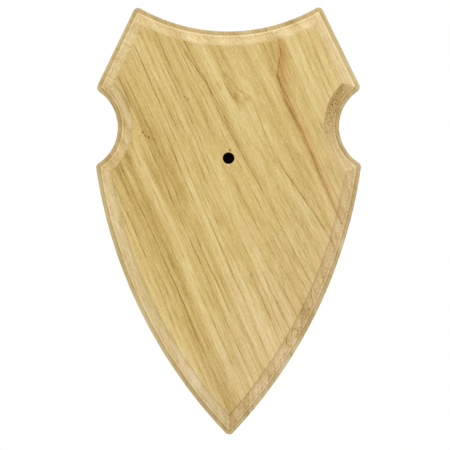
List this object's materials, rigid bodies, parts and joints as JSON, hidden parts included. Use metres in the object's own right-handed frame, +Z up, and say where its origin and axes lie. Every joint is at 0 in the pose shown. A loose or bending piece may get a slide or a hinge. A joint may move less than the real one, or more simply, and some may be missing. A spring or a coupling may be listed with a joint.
{
  "type": "wooden trophy plaque",
  "caption": "Shield-shaped wall plaque in light oak with a moulded edge, a bore for the trophy's bolt and a keyhole hanger in the back.",
  "frame": {"origin": "centre of the hanger's eye, in the plane of the back", "axes": "+Z up along the shield's height, +X to the right as it is seen from the front, +Y out of the back towards the wall; the moulded face looks along -Y"},
  "size_m": [0.149, 0.016, 0.24],
  "materials": {
    "left_oak": "pale oak, sanded, thin clear oil",
    "centre_oak": "pale oak, sanded, thin clear oil",
    "right_oak": "pale oak, sanded, thin clear oil",
    "hanger_steel": "zinc plated, dull",
    "screw_steel": "zinc plated, dull"
  },
  "bodies": {
    "root": {"left_stave": "left_oak", "centre_stave": "centre_oak", "right_stave": "right_oak", "keyhole_hanger": "hanger_steel", "hanger_screws": "screw_steel"}
  },
  "joints": []
}
